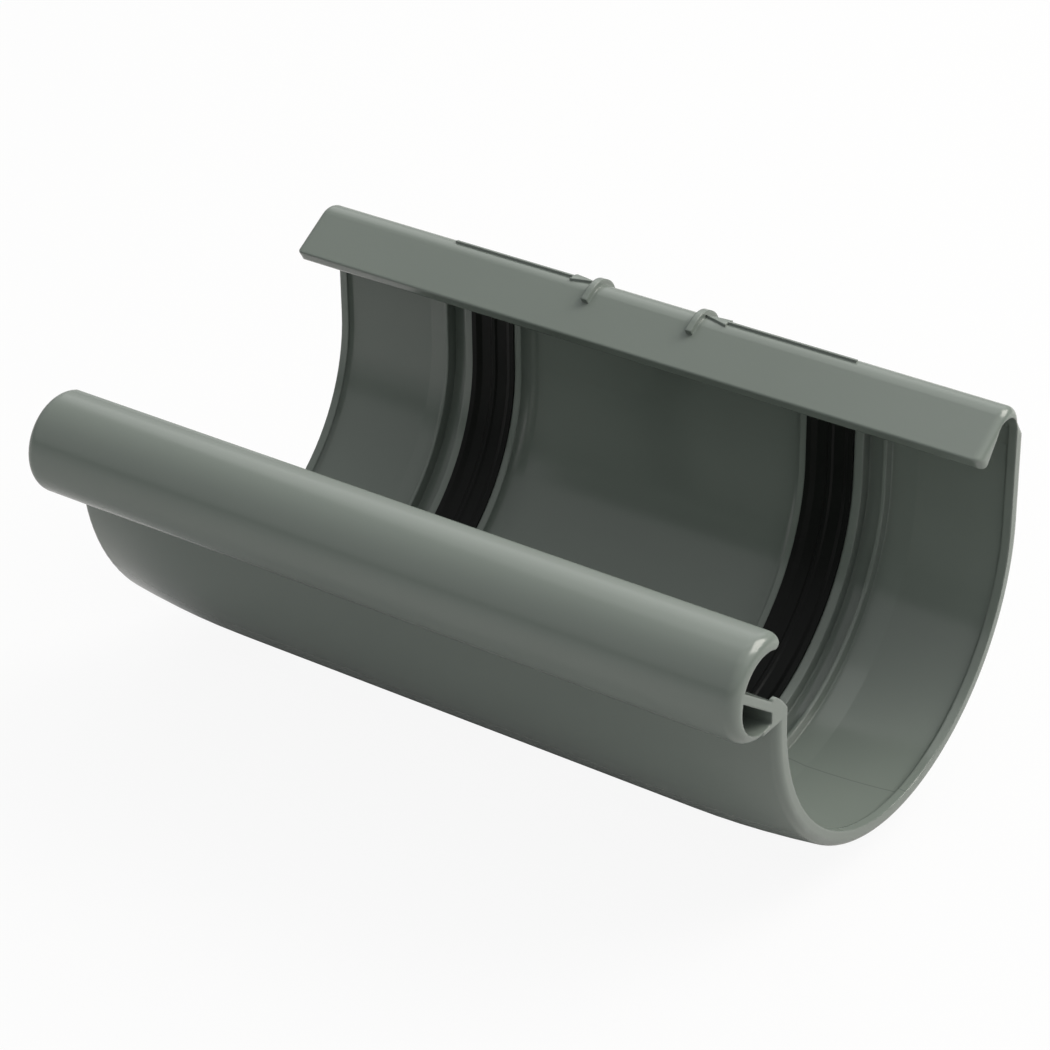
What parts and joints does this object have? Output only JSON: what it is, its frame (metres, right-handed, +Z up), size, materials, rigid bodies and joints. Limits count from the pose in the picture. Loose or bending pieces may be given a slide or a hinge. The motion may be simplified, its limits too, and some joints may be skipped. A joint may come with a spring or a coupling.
{
  "type": "gutter connector",
  "caption": "Half-round gutter connector with a rear hook, a hollow front bead and rubber seals in grooves inside.",
  "frame": {"origin": "on the centre line of the half round, at mid-length, where a bracket's cradle is centred", "axes": "+X along the gutter, +Y from the front bead to the rear hook, +Z up"},
  "size_m": [0.15, 0.0972, 0.0686],
  "materials": {
    "grey_pvc": "satin moulded PVC, stone grey",
    "seal_rubber": "matt black rubber"
  },
  "bodies": {
    "root": {"body": "grey_pvc", "seal_left": "seal_rubber", "seal_right": "seal_rubber"}
  },
  "joints": []
}
